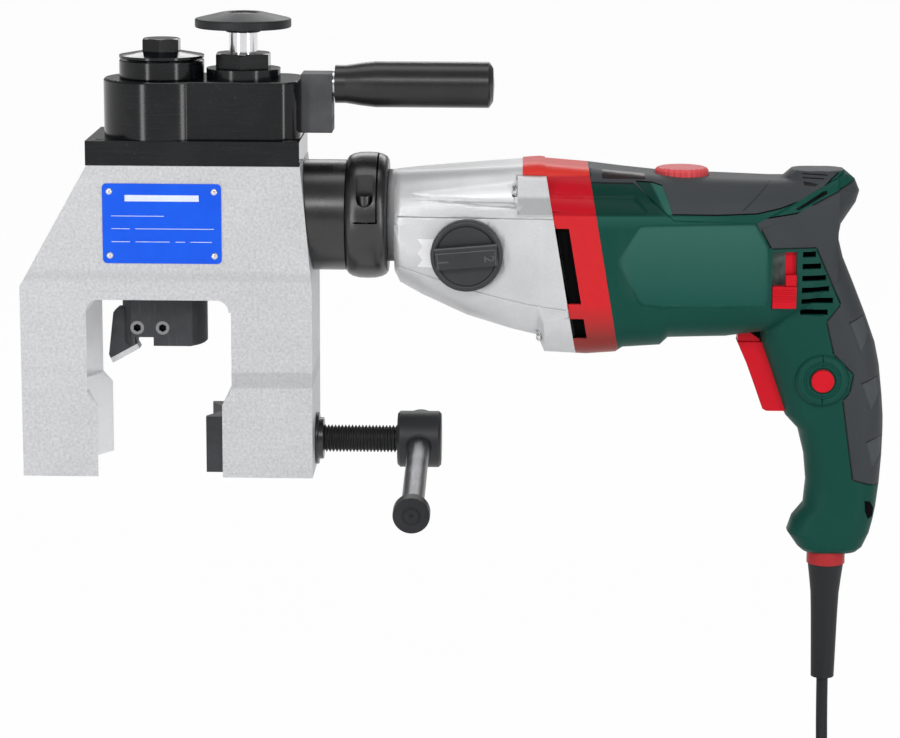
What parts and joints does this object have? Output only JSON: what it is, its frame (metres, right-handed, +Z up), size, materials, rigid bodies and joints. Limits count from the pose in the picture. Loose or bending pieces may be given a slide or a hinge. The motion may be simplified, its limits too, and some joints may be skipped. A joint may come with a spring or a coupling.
{
  "type": "pipe chamfering machine",
  "caption": "Hand-held pipe chamfering machine: a C-shaped clamp frame holds the tube, a hand drill turns a vertical spindle and a geared feed lowers the chamfering bit onto its end.",
  "frame": {"origin": "on the spindle axis, at the height of the frame feet", "axes": "+X from the frame towards the drill, +Y away from the viewer of the picture, +Z up along the spindle"},
  "size_m": [0.5296, 0.2515, 0.4809],
  "materials": {
    "frame_metal": "satin milled",
    "plate_blue": "smooth enamel, bare",
    "bright_steel": "ground",
    "dark_steel": "machined",
    "black_metal": "black oxide, half gloss",
    "black_plastic": "fine satin",
    "cast_silver": "silver lacquer on a casting",
    "green_plastic": "fine texture",
    "red_plastic": "fine satin",
    "soft_rubber": "soft touch"
  },
  "bodies": {
    "machine": {"frame_block": "frame_metal", "name_plate": "plate_blue", "plate_rivets": "bright_steel", "quill_guide": "black_metal", "bearings": "bright_steel", "top_plate": "black_metal", "socket_screws": "black_metal", "feed_housing": "black_metal", "nut_collar": "black_metal", "gland_nut": "black_metal", "handle_bracket": "black_metal", "handle_spindle": "bright_steel", "clamp_nut": "black_metal", "adapter_sleeve": "black_metal", "clamp_ring": "black_metal", "clamp_ring_screw": "black_metal", "gear_housing": "cast_silver", "gearbox_screws": "bright_steel", "bearing_bridge": "cast_silver", "ring_cover": "red_plastic", "stator": "dark_steel", "carbon_brushes": "dark_steel", "left_housing": "green_plastic", "right_housing": "green_plastic", "soft_cover": "soft_rubber", "switch_module": "black_plastic", "relief_collar": "red_plastic", "cord_relief": "soft_rubber", "cord": "soft_rubber", "cord_coil": "soft_rubber", "cord_tie": "black_plastic", "plug": "soft_rubber"},
    "feed_nut": {"feed_nut": "dark_steel", "feed_cap": "black_metal"},
    "quill": {"quill": "dark_steel", "quill_bearings": "bright_steel"},
    "spindle": {"spindle": "dark_steel", "tool_holder": "black_metal", "chamfer_bit": "black_metal", "carbide_insert": "bright_steel", "tool_set_screws": "black_metal"},
    "feed_pinion": {"feed_pinion": "dark_steel", "knob_spring": "bright_steel"},
    "feed_knob": {"plunger_rod": "bright_steel", "feed_knob": "black_metal"},
    "armature": {"armature": "dark_steel"},
    "layshaft": {"layshaft": "dark_steel"},
    "drive_shaft": {"pinion_shaft": "dark_steel", "output_shaft": "dark_steel"},
    "crown_gear": {"crown_gear": "dark_steel"},
    "jaw": {"clamp_jaw": "black_metal", "jaw_pins": "bright_steel"},
    "clamp_screw": {"clamp_screw": "black_metal"},
    "tommy_bar": {"tommy_bar": "black_metal"},
    "grip": {"revolving_grip": "black_plastic"},
    "trigger": {"trigger": "red_plastic"},
    "lock_button": {"lock_button": "red_plastic"},
    "direction_slider": {"direction_slider": "red_plastic"},
    "gear_selector": {"gear_selector": "black_plastic"},
    "speed_dial": {"speed_dial": "red_plastic"}
  },
  "joints": [
    {"name": "feed_nut_turn", "type": "hinge", "parent": "machine", "child": "feed_nut", "pos_m": [0, 0, 0.2], "axis": [0, 0, 1], "range_deg": [0, 3600]},
    {"name": "quill_feed", "type": "slide", "parent": "machine", "child": "quill", "axis": [0, 0, -1], "range_m": [0, 0.025]},
    {"name": "feed_knob_turn", "type": "hinge", "parent": "machine", "child": "feed_pinion", "pos_m": [0.047, 0, 0.2], "axis": [0, 0, 1], "range_deg": [-4458, 0]},
    {"name": "feed_knob_press", "type": "slide", "parent": "feed_pinion", "child": "feed_knob", "axis": [0, 0, -1], "range_m": [0, 0.01], "stiffness_N_per_m": 800, "springref_m": -0.004, "deforming": ["knob_spring"]},
    {"name": "motor_spin", "type": "hinge", "parent": "machine", "child": "armature", "pos_m": [0.3, 0, 0.122], "axis": [1, 0, 0], "continuous": true},
    {"name": "layshaft_spin", "type": "hinge", "parent": "machine", "child": "layshaft", "pos_m": [0.2, 0.01525, 0.13079], "axis": [1, 0, 0], "continuous": true},
    {"name": "drive_shaft_spin", "type": "hinge", "parent": "machine", "child": "drive_shaft", "pos_m": [0.1, 0, 0.149], "axis": [1, 0, 0], "continuous": true},
    {"name": "crown_gear_spin", "type": "hinge", "parent": "machine", "child": "crown_gear", "pos_m": [0, 0, 0.12], "axis": [0, 0, 1], "continuous": true},
    {"name": "spindle_spin", "type": "hinge", "parent": "quill", "child": "spindle", "pos_m": [0, 0, 0.12], "axis": [0, 0, 1], "continuous": true},
    {"name": "jaw_slide", "type": "slide", "parent": "machine", "child": "jaw", "axis": [-1, 0, 0], "range_m": [0, 0.04]},
    {"name": "clamp_screw_turn", "type": "hinge", "parent": "jaw", "child": "clamp_screw", "pos_m": [0.1, 0, 0.0164], "axis": [-1, 0, 0], "range_deg": [-238, 70]},
    {"name": "tommy_bar_slide", "type": "slide", "parent": "clamp_screw", "child": "tommy_bar", "axis": [0, 0.9947, 0.1028], "range_m": [0, 0.1075]},
    {"name": "grip_spin", "type": "hinge", "parent": "machine", "child": "grip", "pos_m": [0.15, 0, 0.2247], "axis": [1, 0, 0], "continuous": true},
    {"name": "trigger_pull", "type": "slide", "parent": "machine", "child": "trigger", "axis": [1, 0, 0], "range_m": [0, 0.008], "stiffness_N_per_m": 700, "springref_m": -0.002},
    {"name": "lock_button_press", "type": "slide", "parent": "machine", "child": "lock_button", "axis": [0, 1, 0], "range_m": [0, 0.0035], "stiffness_N_per_m": 600, "springref_m": -0.002},
    {"name": "direction_slide", "type": "slide", "parent": "machine", "child": "direction_slider", "axis": [0, 0, 1], "range_m": [0, 0.012]},
    {"name": "gear_selector_turn", "type": "hinge", "parent": "machine", "child": "gear_selector", "pos_m": [0.1763, -0.04, 0.1317], "axis": [0, -1, 0], "range_deg": [0, 180]},
    {"name": "speed_dial_turn", "type": "hinge", "parent": "machine", "child": "speed_dial", "pos_m": [0.2992, 0, 0.17], "axis": [0, 0, 1], "range_deg": [0, 300]}
  ],
  "couplings": [
    {"joint": "quill_feed", "follows": "feed_nut_turn", "m_per_rad": 0.00039788},
    {"joint": "feed_knob_turn", "follows": "feed_nut_turn", "ratio": -1.2381},
    {"joint": "layshaft_spin", "follows": "motor_spin", "ratio": -0.22222},
    {"joint": "drive_shaft_spin", "follows": "motor_spin", "ratio": 0.079365},
    {"joint": "crown_gear_spin", "follows": "motor_spin", "ratio": 0.039683},
    {"joint": "spindle_spin", "follows": "motor_spin", "ratio": 0.039683}
  ]
}
